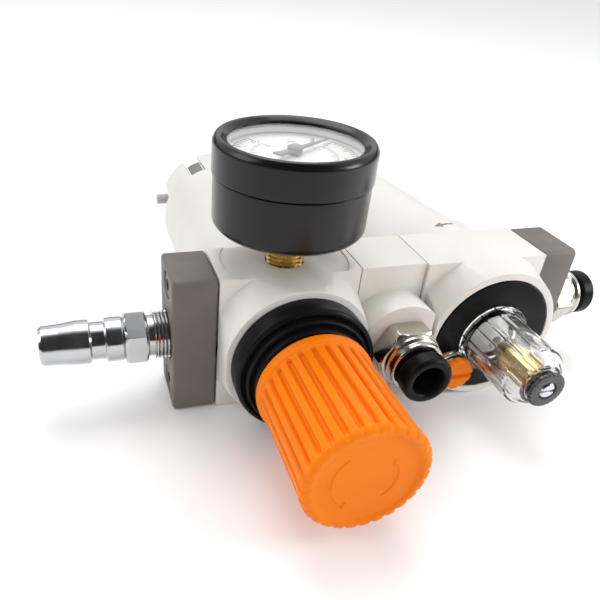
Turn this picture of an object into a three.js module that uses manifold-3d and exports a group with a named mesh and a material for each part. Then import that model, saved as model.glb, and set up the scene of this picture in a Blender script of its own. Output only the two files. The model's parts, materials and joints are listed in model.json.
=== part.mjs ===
// Modular air service unit for an 8 mm air line, lying on its back with the gauge up:
// a filter-regulator, a take-off block and a lubricator between two end plates.
// Millimetres. +X follows the air from inlet to outlet, -Y points to the adjusting knob, +Z to the gauge.
// The origin is on the back face, straight under the middle of the filter-regulator's body.
import * as THREE from 'three';
import { mergeVertices } from 'three/addons/utils/BufferGeometryUtils.js';
import Module from 'manifold-3d';

const wasm = await Module();
wasm.setup();

// ---- driving dimensions ----
const DEPTH = 39.6;            // back face to gauge face of every module
const MID = DEPTH / 2;         // height of the air line's axis
const HALF = 8.85;             // half the width of a module's flange along Y
const GAP = 0.3;               // clearance between pieces that touch
const PORT_R = 4.5;            // air passage
const TUBE_R = 4.1;            // bore for an 8 mm tube

const PLATE_IN = { x0: -31.1, x1: -19.6 };
const FILTER = { x0: -19.3, x1: 18.3, axis: 0 };
const TAKEOFF = { x0: 18.6, x1: 37.3, axis: 28.9 };
const LUBE = { x0: 37.6, x1: 74.4, axis: 57 };
const PLATE_OUT = { x0: 74.7, x1: 86.0 };

const NECK_R = DEPTH / 2;      // round neck of the two large modules
const BOSS_Y = -17.9;          // front of the bosses
const BOSS = { front: 19.7, foot: 21.9 }; // radii of the conical bosses, cut flush with the flat faces
const RING_R = 18.2;           // black bonnet ring
const KNOB = { base: -28.5, end: -60.9, r0: 14.2, r1: 14.7 };

const GAUGE = { bottom: 49.0, seam: 62.7, top: 71.4, caseR: 19.4, ringR: 19.8, openR: 16.2 };
const BOWL_END = 90;           // far end of the filter bowl guard
const LUBE_NECK = 17.8;        // end of the lubricator body's round neck
const LUBE_END = 84;           // far end of the lubricator guard
const SCREW_Z = [5, DEPTH - 5];
const PLUG = { x: 45.4, z: 11.6, r: 4.8, holeR: 2.9, lobeR: 5.2 };

// ---- finishes ----
const finish = (color, roughness, metalness, extra = {}) =>
  new THREE.MeshStandardMaterial({ color, roughness, metalness, ...extra });
const WHITE = finish(0xece9e0, 0.45, 0);
const GREY = finish(0x8a827a, 0.6, 0);
const BLACK = finish(0x17171a, 0.4, 0);
const ORANGE = finish(0xf07c18, 0.42, 0);
const CLEAR = finish(0xe8eef0, 0.08, 0, { transparent: true, opacity: 0.3 });
const STEEL = finish(0xc9ccd0, 0.2, 1);
const NICKEL = finish(0xb9b4a8, 0.28, 1);
const BRASS = finish(0xc9a24a, 0.3, 1);
const RUBBER = finish(0x101010, 0.8, 0);
const DIAL = finish(0xf4f4f0, 0.6, 0);
const POLYMER = finish(0xd9d4c4, 0.9, 0);

// ---- closed shapes ----
// Merges shared corners, drops triangles with no area and turns the faces outwards.
function closed(geometry) {
  const bare = new THREE.BufferGeometry();
  bare.setAttribute('position', geometry.getAttribute('position'));
  bare.setIndex(geometry.getIndex());
  const merged = mergeVertices(bare, 1e-4);
  const spots = merged.getAttribute('position').array;
  const from = merged.getIndex().array;
  const kept = [];
  let volume = 0;
  for (let i = 0; i < from.length; i += 3) {
    const [a, b, c] = [from[i], from[i + 1], from[i + 2]];
    if (a === b || b === c || a === c) continue;
    kept.push(a, b, c);
    const [p, q, r] = [a, b, c].map((k) => new THREE.Vector3().fromArray(spots, 3 * k));
    volume += p.dot(q.cross(r));
  }
  if (volume < 0) {
    for (let i = 0; i < kept.length; i += 3) [kept[i], kept[i + 1]] = [kept[i + 1], kept[i]];
  }
  merged.setIndex(kept);
  return merged;
}

function toSolid(geometry) {
  const shape = closed(geometry);
  return new wasm.Manifold(new wasm.Mesh({
    numProp: 3,
    vertProperties: new Float32Array(shape.getAttribute('position').array),
    triVerts: new Uint32Array(shape.getIndex().array),
  }));
}

function toGeometry(solid) {
  const mesh = solid.getMesh();
  const geometry = new THREE.BufferGeometry();
  geometry.setAttribute('position', new THREE.BufferAttribute(new Float32Array(mesh.vertProperties), 3));
  geometry.setIndex(new THREE.BufferAttribute(new Uint32Array(mesh.triVerts), 1));
  return geometry;
}

// base with every tool joined on, then with every cutter taken away
function carve(base, joins = [], cuts = []) {
  let solid = toSolid(base);
  for (const piece of joins) solid = solid.add(toSolid(piece));
  for (const piece of cuts) solid = solid.subtract(toSolid(piece));
  return toGeometry(solid);
}

function overlapOf(a, b) {
  return toGeometry(toSolid(a).intersect(toSolid(b)));
}

// Flat sides that stand for a round of nominal count: fewer, and in fours; a hexagon stays one.
const sides = (count) => (count <= 6 ? count : Math.max(12, 4 * Math.round(count / 10)));

// A profile of [radius, station] pairs turned about the axis 'x', 'y' or 'z' through centre.
function turned(axis, centre, profile, segments = 48) {
  const points = profile.map(([r, s]) => new THREE.Vector2(r, s));
  const onAxis = profile[0][0] === 0 && profile[profile.length - 1][0] === 0;
  if (!onAxis) points.push(points[0].clone());
  const shape = new THREE.LatheGeometry(points, sides(segments));
  if (axis === 'x') shape.rotateZ(-Math.PI / 2);
  if (axis === 'z') shape.rotateX(Math.PI / 2);
  return closed(shape.translate(...centre));
}

// A plain round bar of radius r between two stations of an axis.
const rod = (axis, centre, r, s0, s1, segments = 32) =>
  turned(axis, centre, [[0, s0], [r, s0], [r, s1], [0, s1]], segments);

// A hexagon bar with corners cut off by a cone at its free end, turned by an angle about its axis.
function hexBar(axis, centre, flats, s0, s1, turn) {
  const r = flats / Math.sqrt(3);
  const bar = turned(axis, centre, [[0, s0], [r, s0], [r, s1], [0, s1]], 6);
  const low = Math.min(s0, s1);
  const high = Math.max(s0, s1);
  const cut = 0.9;
  const cone = turned(axis, centre, [[0, low], [r - cut, low], [r, low + cut / 2], [r, high - cut / 2],
    [r - cut, high], [0, high]], 32);
  const [x, y, z] = centre;
  const atOrigin = overlapOf(bar, cone).translate(-x, -y, -z);
  return (axis === 'x' ? atOrigin.rotateX(turn) : atOrigin.rotateY(turn)).translate(x, y, z);
}

function box(x0, x1, y0, y1, z0, z1) {
  const shape = new THREE.BoxGeometry(x1 - x0, y1 - y0, z1 - z0);
  return closed(shape.translate((x0 + x1) / 2, (y0 + y1) / 2, (z0 + z1) / 2));
}

// A rounded rectangle in the YZ plane, carried along X, with small bevels at both ends.
function plate(x0, x1, halfY, depth, corner, bevel) {
  const [w, h, r] = [halfY - bevel, depth / 2 - bevel, corner - bevel];
  const outline = new THREE.Shape();
  outline.moveTo(-w + r, -h);
  outline.lineTo(w - r, -h);
  outline.absarc(w - r, -h + r, r, -Math.PI / 2, 0);
  outline.lineTo(w, h - r);
  outline.absarc(w - r, h - r, r, 0, Math.PI / 2);
  outline.lineTo(-w + r, h);
  outline.absarc(-w + r, h - r, r, Math.PI / 2, Math.PI);
  outline.lineTo(-w, -h + r);
  outline.absarc(-w + r, -h + r, r, Math.PI, 1.5 * Math.PI);
  const shape = new THREE.ExtrudeGeometry(outline, {
    depth: x1 - x0 - 2 * bevel, bevelThickness: bevel, bevelSize: bevel, bevelSegments: 1, curveSegments: 2,
  });
  shape.rotateX(Math.PI / 2).rotateZ(Math.PI / 2);
  return closed(shape.translate(x0 + bevel, 0, depth / 2));
}

// A coil spring along Y, of round wire, from y0 to y1.
function spring(centre, radius, wire, y0, y1, turns) {
  class Helix extends THREE.Curve {
    getPoint(t, target = new THREE.Vector3()) {
      const angle = 2 * Math.PI * turns * t;
      return target.set(radius * Math.cos(angle), y0 + (y1 - y0) * t, radius * Math.sin(angle));
    }
  }
  const section = new THREE.Shape().absarc(0, 0, wire, 0, 2 * Math.PI);
  const shape = new THREE.ExtrudeGeometry(section, {
    steps: Math.round(turns * 12), curveSegments: 2, extrudePath: new Helix(),
  });
  return closed(shape.translate(...centre));
}

// ---- scene graph ----
const unit = new THREE.Group();
const section = (title) => {
  const group = new THREE.Group();
  group.name = '';
  group.userData.title = title;
  unit.add(group);
  return group;
};
function add(group, name, geometry, material) {
  const mesh = new THREE.Mesh(geometry, material);
  mesh.name = name;
  group.add(mesh);
}

// ---- end plates and their clamp screws ----
const clamp = section('end plates');
const SCREW = { headR: 3.4, head: 2.6, shankR: 2.0, recessR: 3.8, recess: 3.2, length: 8.4 };

function endPlate({ x0, x1 }, outward, cuts) {
  const outer = outward < 0 ? x0 : x1;
  const recesses = SCREW_Z.flatMap((z) => [
    rod('x', [outer, 0, z], SCREW.recessR, -outward * SCREW.recess, outward, 24),
    rod('x', [outer, 0, z], SCREW.shankR + GAP, -outward * 20, outward, 16),
  ]);
  return carve(plate(x0, x1, HALF, DEPTH, 1.6, 0.5), [], [...recesses, ...cuts]);
}

function clampScrew(outer, outward, z) {
  const head = -outward * (SCREW.recess - GAP);
  const top = head + outward * SCREW.head;
  const tip = -outward * (SCREW.length + 1.2);
  const body = turned('x', [outer, 0, z], [[0, top], [SCREW.headR, top], [SCREW.headR, head],
    [SCREW.shankR, head], [SCREW.shankR, tip], [0, tip]], 24);
  return carve(body, [], [turned('x', [outer, 0, z], [[0, top + outward], [1.7, top + outward],
    [1.7, top - outward * 1.6], [0, top - outward * 1.6]], 6)]);
}

const NIPPLE_BORE = 6.8;
add(clamp, 'inlet_end_plate', endPlate(PLATE_IN, -1,
  [rod('x', [0, 0, MID], NIPPLE_BORE, PLATE_IN.x0 - 1, PLATE_IN.x1 + 1)]), GREY);
add(clamp, 'outlet_end_plate', endPlate(PLATE_OUT, 1,
  [rod('x', [0, 0, MID], NIPPLE_BORE, PLATE_OUT.x0 - 1, PLATE_OUT.x1 + 1)]), GREY);
for (const [side, outer, outward] of [['inlet', PLATE_IN.x0, -1], ['outlet', PLATE_OUT.x1, 1]]) {
  SCREW_Z.forEach((z, i) => {
    add(clamp, `${side}_clamp_screw_${i + 1}`, clampScrew(outer, outward, z), STEEL);
  });
}

// ---- module seals: one ring in a counterbore at each of the four joints ----
const SEAL = { bore: 8.6, depth: 1.4, r0: 6.4, r1: 8.2, thick: 1.1 };
const sealSeat = (x, into) => rod('x', [x, 0, MID], SEAL.bore, -into, into * SEAL.depth, 32);
const joints = { seal_inlet: FILTER.x0, seal_takeoff: TAKEOFF.x0, seal_lubricator: LUBE.x0 };
function sealRing(x, into) {
  const a = into * (SEAL.depth - SEAL.thick - 0.05);
  const b = into * (SEAL.depth - 0.1);
  return turned('x', [x, 0, MID], [[SEAL.r0, a], [SEAL.r1, a], [SEAL.r1, b], [SEAL.r0, b]], 32);
}
for (const [name, x] of Object.entries(joints)) add(clamp, name, sealRing(x, 1), RUBBER);
add(clamp, 'seal_outlet', sealRing(LUBE.x1, -1), RUBBER);

// A conical boss in front of a module, cut to the box from xLow to xHigh between the two flat faces.
function coneBoss(module, xLow, xHigh) {
  const cone = turned('y', [module.axis, 0, MID], [[0, BOSS_Y], [BOSS.front, BOSS_Y], [BOSS.foot, -HALF - 0.6],
    [BOSS.foot, 0], [0, 0]], 128);
  return overlapOf(cone, box(xLow, xHigh, BOSS_Y - 1, 1, 0, DEPTH));
}

// ---- filter-regulator body ----
const filter = section('filter-regulator');
const at = (module) => [module.axis, 0, MID];
const SPRING_BORE = 16.7;
function filterBody() {
  const block = box(FILTER.x0, FILTER.x1, -HALF, HALF, 0, DEPTH);
  return carve(block, [coneBoss(FILTER, FILTER.x0, FILTER.x1)], [
    turned('y', at(FILTER), [[0, BOSS_Y - 1], [SPRING_BORE, BOSS_Y - 1], [SPRING_BORE, -8.5], [13, -8.5],
      [13, -5], [0, -5]], 48),
    rod('y', at(FILTER), 12, 5, HALF + 1),
    rod('y', at(FILTER), 3.2, -6, 6, 24),
    rod('x', [0, 0, MID], PORT_R, FILTER.x0 - 1, -9),
    rod('x', [0, 0, MID], PORT_R, 9, FILTER.x1 + 1),
    rod('y', [-10, 0, MID], 1.8, 0, 6, 16),
    rod('y', [10, 0, MID], 1.8, -6, 0, 16),
    rod('z', [0, 0, 0], 5.2, 31, DEPTH + 1, 32),
    rod('z', [0, 0, 0], 17, DEPTH - 0.3, DEPTH + 1, 128),
    sealSeat(FILTER.x0, 1),
  ]);
}
add(filter, 'filter_regulator_body', filterBody(), WHITE);

// Black bonnet: threaded skirt inside the boss, stepped ring in front of it, neck that the knob covers.
add(filter, 'regulator_bonnet', turned('y', at(FILTER), [
  [16.3, -10.1], [16.3, BOSS_Y - GAP], [RING_R, BOSS_Y - GAP], [RING_R, -23.2], [17.6, -23.9], [16.4, -23.9],
  [16.4, -25.2], [15.0, -25.2], [15.0, -26.4], [11.4, -26.4], [11.4, -34], [5.2, -34], [5.2, -30.4],
  [10.4, -30.4], [10.4, -24], [13.8, -22], [13.8, -10.1]], 64), BLACK);

// ---- regulating parts along the knob's axis ----
add(filter, 'adjusting_screw', turned('y', at(FILTER), [
  [0, -51], [4.2, -51], [4.8, -50.4], [4.8, -30], [8.4, -30], [8.4, -28.6], [3.0, -28.6], [3.0, -17], [0, -17]],
32), STEEL);
add(filter, 'spring_seat', turned('y', at(FILTER), [
  [3.4, -24.8], [9.6, -24.8], [9.6, -22.8], [6.4, -21.9], [3.4, -21.9]], 32), STEEL);
add(filter, 'main_spring', spring(at(FILTER), 8.0, 0.9, -20.6, -13.2, 3.5), STEEL);
add(filter, 'diaphragm', turned('y', at(FILTER), [
  [5.2, -9.9], [16.2, -9.9], [16.2, -8.9], [5.2, -8.9]], 32), RUBBER);
add(filter, 'diaphragm_plate', turned('y', at(FILTER), [
  [0, -12], [10, -12], [10, -11.2], [4.8, -11.2], [4.8, -6.6], [1.4, -6.6], [1.4, -3], [0, -3]], 32), BRASS);
add(filter, 'valve_poppet', turned('y', at(FILTER), [
  [0, -2.6], [1.2, -2.6], [1.2, 5.4], [5.6, 5.4], [5.6, 7.2], [2.2, 7.2], [2.2, 8.4], [0, 8.4]], 24), BRASS);
add(filter, 'valve_spring', spring(at(FILTER), 3.6, 0.35, 10.6, 7.9, 2), STEEL);

// ---- pull-out adjusting knob: deep ribs, smooth collar and rim, a drive socket inside ----
const RIBS = 28;
function knobShape() {
  const { base, end, r0, r1 } = KNOB;
  return turned('y', at(FILTER), [
    [0, end + 1.0], [10.8, end + 1.0], [11.4, end], [r1 - 1.2, end], [r1, end + 1.4], [r1 - 0.2, end + 4.2],
    [r1 - 0.7, end + 5], [r0 - 0.5, base - 3], [r0 + 0.7, base - 2.4], [r0 + 0.6, base], [12.2, base],
    [12.2, base - 8], [5.3, base - 8], [5.3, -55], [0, -55]], 56);
}
add(filter, 'adjusting_knob', carve(knobShape(), Array.from({ length: RIBS }, (_, i) => {
  const rib = new THREE.BoxGeometry(1.5, KNOB.base - 4 - (KNOB.end + 6), 1.5);
  rib.translate(0, (KNOB.base - 4 + KNOB.end + 6) / 2, KNOB.r0 - 0.65);
  rib.rotateY(2 * Math.PI * i / RIBS);
  return rib.translate(...at(FILTER));
})), ORANGE);

// ---- pressure gauge ----
const gauge = section('pressure gauge');
const up = [0, 0, 0];
function gaugeStem() {
  const thread = turned('z', up, [[0, 31.6], [4.4, 31.6], [4.85, 32.2], [4.85, 53.4],
    [0, 53.4]], 32);
  return carve(thread, [box(-6, 6, -6, 6, 44.4, 48.6)], [rod('z', up, 1.2, 30, 52, 12)]);
}
add(gauge, 'gauge_stem', gaugeStem(), BRASS);
add(gauge, 'gauge_case', turned('z', up, [
  [5.3, GAUGE.bottom], [17.8, GAUGE.bottom], [18.9, 49.5], [GAUGE.caseR, 50.6], [GAUGE.caseR, GAUGE.seam - GAP],
  [17.9, GAUGE.seam - GAP], [17.9, 51.4], [16.8, 50.5], [5.3, 50.5]], 64), BLACK);
add(gauge, 'gauge_bezel', turned('z', up, [
  [18.3, GAUGE.seam], [19.4, GAUGE.seam], [GAUGE.ringR, GAUGE.seam + 0.4], [GAUGE.ringR, GAUGE.top - 1.2],
  [19.0, GAUGE.top], [17.9, GAUGE.top], [GAUGE.openR, 70.3], [GAUGE.openR, 70.05], [18.3, 70.05]], 64), BLACK);
add(gauge, 'gauge_window', rod('z', up, 18.0, 69.2, 69.95, 64), CLEAR);
const FACE = 66.6;             // printed side of the dial
add(gauge, 'gauge_spacer_ring', turned('z', up, [
  [17.0, FACE + GAP], [17.7, FACE + GAP], [17.7, 69.0], [17.0, 69.0]], 48), DIAL);
add(gauge, 'gauge_dial', turned('z', up, [[1.3, FACE - 0.6], [17.6, FACE - 0.6], [17.6, FACE], [1.3, FACE]], 64),
  DIAL);
add(gauge, 'gauge_movement', carve(box(-5, 5, -4, 4, 54, 56), [box(-4.4, 4.4, -3, 3, 55.9, 63)],
  [box(-3, 3, -4, 4, 57.2, 61.6), rod('z', up, 1.0, 61, 64, 16)]), BRASS);

class Arc extends THREE.Curve {
  getPoint(t, target = new THREE.Vector3()) {
    const angle = -0.75 * Math.PI + 1.5 * Math.PI * t;
    return target.set(12.5 * Math.cos(angle), 12.5 * Math.sin(angle), 57.5);
  }
}
const tubeSection = new THREE.Shape().absellipse(0, 0, 2.4, 0.9, 0, 2 * Math.PI);
add(gauge, 'bourdon_tube', closed(new THREE.ExtrudeGeometry(tubeSection, {
  steps: 28, curveSegments: 5, extrudePath: new Arc(),
})), BRASS);

// Pointer in its resting place, a long thin end and a short wide tail, on its own spindle.
const REST_TURN = THREE.MathUtils.degToRad(32);
function pointer() {
  const outline = new THREE.Shape();
  outline.moveTo(13.6, 0);
  outline.lineTo(2.2, 0.75);
  outline.lineTo(-4.2, 1.0);
  outline.lineTo(-6.4, 1.5);
  outline.lineTo(-6.4, -1.5);
  outline.lineTo(-4.2, -1.0);
  outline.lineTo(2.2, -0.75);
  const blade = new THREE.ExtrudeGeometry(outline, { depth: 0.4, bevelEnabled: false });
  blade.rotateZ(REST_TURN).translate(0, 0, FACE + 1.1);
  return carve(blade, [turned('z', up, [[0, 61.9], [0.7, 61.9], [0.7, FACE + 0.7], [1.9, FACE + 0.7],
    [1.9, FACE + 1.9], [1.2, FACE + 2.3], [0, FACE + 2.3]], 24)]);
}
add(gauge, 'gauge_pointer', pointer(), BLACK);
// The stop stands in the dead zone, just behind the resting pointer.
const STOP = { r: 9, turn: REST_TURN + 0.2, pin: 0.55 };
add(gauge, 'gauge_stop_pin', rod('z', [STOP.r * Math.cos(STOP.turn), STOP.r * Math.sin(STOP.turn), 0],
  STOP.pin, FACE + 0.1, FACE + 1.7, 16), STEEL);

// ---- plug nipple screwed into the inlet ----
const ports = section('ports and fittings');
const TIP_X = -63.6;
function nippleShape() {
  const body = turned('x', [0, 0, MID], [
    [3.2, TIP_X], [4.7, TIP_X], [5.15, TIP_X + 0.8], [5.3, -58.5], [5.8, -54.2], [5.8, -51.6], [5.5, -51.2],
    [4.95, -50.8], [4.95, -47.6], [5.5, -47.1], [5.85, -46.8], [5.85, -43], [5.5, -42.5], [5.5, -37], [5.4, -36.2],
    [5.4, -35], [6.4, -34.4], [6.4, -22], [4.2, -22], [4.2, -44], [3.2, -45]], 48);
  const hex = carve(hexBar('x', [0, 0, MID], 13, -42.6, -36.6, Math.PI / 6), [],
    [rod('x', [0, 0, MID], 4.6, -44, -35)]);
  return carve(body, [hex]);
}
add(ports, 'inlet_nipple', nippleShape(), STEEL);

// ---- take-off block ----
function takeoffBody() {
  const block = box(TAKEOFF.x0, TAKEOFF.x1, -HALF, HALF, 0, DEPTH);
  const boss = overlapOf(rod('y', at(TAKEOFF), 12.6, BOSS_Y, 0, 96),
    box(TAKEOFF.x0, TAKEOFF.x1, BOSS_Y - 1, 1, 0, DEPTH));
  return carve(block, [boss], [
    rod('x', [0, 0, MID], PORT_R, TAKEOFF.x0 - 1, TAKEOFF.x1 + 1),
    rod('y', at(TAKEOFF), 6.6, BOSS_Y - 1, -8, 32),
    rod('y', at(TAKEOFF), 3, -9, 0, 24),
    sealSeat(TAKEOFF.x0, 1),
  ]);
}
add(ports, 'takeoff_block', takeoffBody(), WHITE);

// ---- push-in fittings: nickel body with a hexagon, and a release collar that slides 1 mm ----
// Stations run outwards from the face that the hexagon sits on.
const FIT = { hex: 6, flats: 16, step: 10, thread: 6.3, sink: 8.5, collar: 11.2, end: 15.9, collarR: 6.7 };
function fittingBody(axis, centre, face, out, turn) {
  const s = (d) => face + out * d;
  const body = turned(axis, centre, [
    [2.6, s(-FIT.sink)], [FIT.thread, s(-FIT.sink)], [FIT.thread, s(0.1)], [7.6, s(0.1)], [7.6, s(FIT.hex + 1)],
    [7.1, s(FIT.hex + 1.4)], [7.1, s(FIT.step)], [6.0, s(FIT.step)], [6.0, s(FIT.step - 7)],
    [4.3, s(FIT.step - 8)], [4.3, s(-3)], [2.6, s(-3.5)]], 40);
  const hex = carve(hexBar(axis, centre, FIT.flats, s(GAP), s(FIT.hex), turn), [],
    [rod(axis, centre, 6.7, s(-1), s(FIT.hex + 1), 40)]);
  return carve(body, [hex]);
}
function collarShape(axis, centre, face, out) {
  const s = (d) => face + out * d;
  return turned(axis, centre, [
    [TUBE_R, s(FIT.step - 4)], [5.6, s(FIT.step - 4)], [5.6, s(FIT.collar)], [6.3, s(FIT.collar)],
    [FIT.collarR, s(FIT.collar + 0.5)], [FIT.collarR, s(FIT.end - 0.8)], [6.0, s(FIT.end)],
    [TUBE_R + 0.5, s(FIT.end)], [TUBE_R, s(FIT.end - 0.5)]], 40);
}
add(ports, 'takeoff_fitting', fittingBody('y', at(TAKEOFF), BOSS_Y, -1, Math.PI / 6), NICKEL);
add(ports, 'takeoff_release_collar', collarShape('y', at(TAKEOFF), BOSS_Y, -1), BLACK);
add(ports, 'outlet_fitting', fittingBody('x', [0, 0, MID], PLATE_OUT.x1, 1, 0), NICKEL);
add(ports, 'outlet_release_collar', collarShape('x', [0, 0, MID], PLATE_OUT.x1, 1), BLACK);

// ---- lubricator ----
const lube = section('lubricator');
const COVER = { r: 17.4, bore: 8.8 };
function lubeBody() {
  const block = box(LUBE.x0, LUBE.x1, -HALF - 1, HALF, 0, DEPTH);
  const neck = overlapOf(rod('y', at(LUBE), NECK_R, 0, LUBE_NECK, 128),
    box(LUBE.axis - 18.4, LUBE.axis + NECK_R, -1, LUBE_NECK + 1, 0, DEPTH));
  return carve(block, [coneBoss(LUBE, LUBE.axis - 18.4, LUBE.axis + NECK_R), neck], [
    rod('y', at(LUBE), COVER.r + GAP, BOSS_Y - 1, BOSS_Y + 2, 128),
    rod('y', at(LUBE), COVER.bore, BOSS_Y, -8, 40),
    rod('y', at(LUBE), 1.6, -9, 0, 16),
    rod('x', [0, 0, MID], PORT_R, LUBE.x0 - 1, LUBE.x1 + 1),
    rod('y', at(LUBE), 15.6, 7.5, LUBE_NECK + 1, 48),
    rod('y', [PLUG.x, 0, PLUG.z], PLUG.holeR, BOSS_Y, 9, 20),
    sealSeat(LUBE.x0, 1), sealSeat(LUBE.x1, -1),
    box(PLATE_OUT.x0 - GAP, 100, -HALF - GAP, 30, -1, DEPTH + 1),
  ]);
}
add(lube, 'lubricator_body', lubeBody(), WHITE);
add(lube, 'lubricator_cover', carve(rod('y', at(LUBE), COVER.r, -18.1, -16.2, 64), [], [
  rod('y', at(LUBE), COVER.bore, -20, -14, 40),
  rod('y', [PLUG.x, 0, PLUG.z], PLUG.holeR, -20, -14, 20),
]), BLACK);
// The dome's flange has a round lobe that the fill plug clamps.
const domeShell = turned('y', at(LUBE), [
  [8.4, -10.5], [8.4, -18.4], [10.2, -18.4], [10.2, -20.2], [9.0, -20.6], [8.8, -21.4], [8.6, -37],
  [5.3, -41.1], [4.9, -41.5], [3.5, -41.5], [3.5, -40.7], [4.6, -40.4], [4.6, -38.8], [7.1, -35.8],
  [7.1, -10.5]], 48);
const lobe = carve(rod('y', [PLUG.x, 0, PLUG.z], PLUG.lobeR, -20.2, -18.4), [],
  [rod('y', [PLUG.x, 0, PLUG.z], PLUG.holeR, -22, -17, 20), rod('y', at(LUBE), 9.4, -22, -17)]);
add(lube, 'sight_dome', carve(domeShell, [lobe]), CLEAR);
add(lube, 'needle_sleeve', turned('y', at(LUBE), [
  [1.9, -41.1], [3.2, -41.1], [3.2, -38.8], [4.2, -38.4], [4.2, -28.5], [2.9, -27.9], [2.9, -24.5], [1.9, -24.5]],
32),
BRASS);
add(lube, 'needle_seal', turned('y', at(LUBE), [
  [3.4, -40.2], [4.3, -40.2], [4.3, -39.2], [3.4, -39.2]], 32), RUBBER);
add(lube, 'dome_tip_ring', turned('y', at(LUBE), [
  [2.6, -42.8], [4.8, -42.8], [5.1, -42.5], [5.1, -41.8], [2.6, -41.8]], 40), BLACK);
function oilScrew() {
  const body = turned('y', at(LUBE), [[0, -43], [1.8, -43], [2.2, -42.6], [2.2, -41.4], [1.6, -41.4],
    [1.6, -26], [0.4, -23], [0, -23]], 24);
  return carve(body, [], [box(LUBE.axis - 4, LUBE.axis + 4, -44, -42.3, MID - 0.4, MID + 0.4)]);
}
add(lube, 'oil_screw', oilScrew(), STEEL);
add(lube, 'drip_funnel', turned('y', at(LUBE), [
  [1.3, -11], [6.6, -11], [6.6, -17.5], [2.2, -21], [1.3, -21]], 32), WHITE);
const plugAt = [PLUG.x, 0, PLUG.z];
function fillPlug() {
  const body = turned('y', plugAt, [[0, -23.6], [PLUG.r - 0.6, -23.6], [PLUG.r, -23], [PLUG.r, -21.1],
    [2.5, -21.1], [2.5, -9], [0, -9]], 24);
  return carve(body, [], [box(PLUG.x - 6, PLUG.x + 6, -25, -22.6, PLUG.z - 0.6, PLUG.z + 0.6)]);
}
add(lube, 'fill_plug', fillPlug(), ORANGE);
add(lube, 'fill_plug_seal', turned('y', plugAt, [[2.9, -20.95], [3.9, -20.95], [3.9, -20.4], [2.9, -20.4]], 24),
  RUBBER);
add(lube, 'oil_pickup_tube', turned('y', [LUBE.axis + 5, 0, MID - 4], [
  [1.0, 9], [1.7, 9], [1.7, 74], [1.0, 74]], 16), CLEAR);

// ---- bowls and guards ----
const bowls = section('bowls');
const GUARD = { r: 19.6, wall: 2.0 };
const LATCH = { x0: -10.6, x1: -5.8, y0: 72, y1: 84 };
const DRAIN_Z = MID + 2.5;     // height of the sideways drain outlet
add(bowls, 'filter_bowl', turned('y', at(FILTER), [
  [15.2, 9.3], [16.9, 9.3], [16.9, 76], [12.6, 83], [6.1, 83], [6.1, 81], [12, 81], [15.2, 75.4]], 48), CLEAR);
function filterGuard() {
  const { r, wall } = GUARD;
  const inner = r - wall;
  const shell = turned('y', at(FILTER), [
    [inner, HALF + 0.35], [r, HALF + 0.35], [r, 78], [r - 1.4, BOWL_END], [r - 1.4 - wall, BOWL_END],
    [inner - 0.2, 80], [inner, 76]], 64);
  return carve(shell, [], [
    box(LATCH.x0 - GAP, LATCH.x1 + GAP, LATCH.y0 - GAP, BOWL_END + 1, MID, DEPTH + 1),
    box(-21, -9, 75, BOWL_END + 1, 12, 27.5),
  ]);
}
add(bowls, 'filter_bowl_guard', filterGuard(), WHITE);
function latch() {
  const { x0, x1, y0, y1 } = LATCH;
  const ring = turned('y', at(FILTER), [[17.4, y0], [19.2, y0], [18.6, y1], [16.9, y1]], 64);
  return overlapOf(ring, box(x0, x1, y0 - 1, y1 + 1, MID, DEPTH));
}
add(bowls, 'guard_latch', latch(), GREY);
add(bowls, 'filter_element', turned('y', at(FILTER), [
  [5.6, 13], [9.4, 13], [9.4, 47], [5.6, 47]], 36), POLYMER);
add(bowls, 'swirl_vane', turned('y', at(FILTER), [
  [4.4, 11.2], [13.4, 11.2], [13.4, 12.4], [10.2, 12.7], [4.4, 12.7]], 36), BLACK);
add(bowls, 'filter_baffle', turned('y', at(FILTER), [
  [0, 13.2], [2.6, 13.2], [2.6, 47.4], [12.4, 47.4], [13, 52], [12.2, 52], [11.6, 49], [0, 49]], 36), BLACK);
add(bowls, 'drain_valve', carve(turned('y', at(FILTER), [
  [0, 74], [3.2, 74], [3.2, 79], [5.7, 79.4], [5.7, 85], [6.4, 85], [6.4, 88.6], [5.6, 89.4], [0, 89.4]], 32),
[rod('x', [0, 86.6, DRAIN_Z], 1.9, -20.6, 0, 20)], [rod('x', [0, 86.6, DRAIN_Z], 1.0, -21, -4, 16)]), GREY);

add(bowls, 'lubricator_bowl', turned('y', at(LUBE), [
  [13.4, 8], [15.2, 8], [15.2, 20], [11.8, 76], [8, 80], [0, 80], [0, 78.4], [7.2, 78.4], [10.2, 75.4],
  [13.4, 20]], 48), CLEAR);
add(bowls, 'lubricator_bowl_guard', turned('y', at(LUBE), [
  [16, LUBE_NECK + GAP], [19, LUBE_NECK + GAP], [17.9, 28], [14.6, 78], [12.6, LUBE_END], [6, LUBE_END],
  [6, LUBE_END - 1.8], [11.4, LUBE_END - 1.8], [12.8, 77.6], [16, 27.6]], 56), WHITE);

export default unit;
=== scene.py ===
# %% [markdown]
# # A modular air service unit
# A filter-regulator, a take-off block and a lubricator stand side by side between two end plates.
# The unit lies on its back, gauge up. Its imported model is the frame: every piece made here takes its
# place from it, in metres, with +X along the air line, -Y towards the knob and +Z towards the gauge.

# %% load the frame
import json
import math

import bmesh
import bpy
import numpy as np
from mathutils import Matrix, Vector

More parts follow.
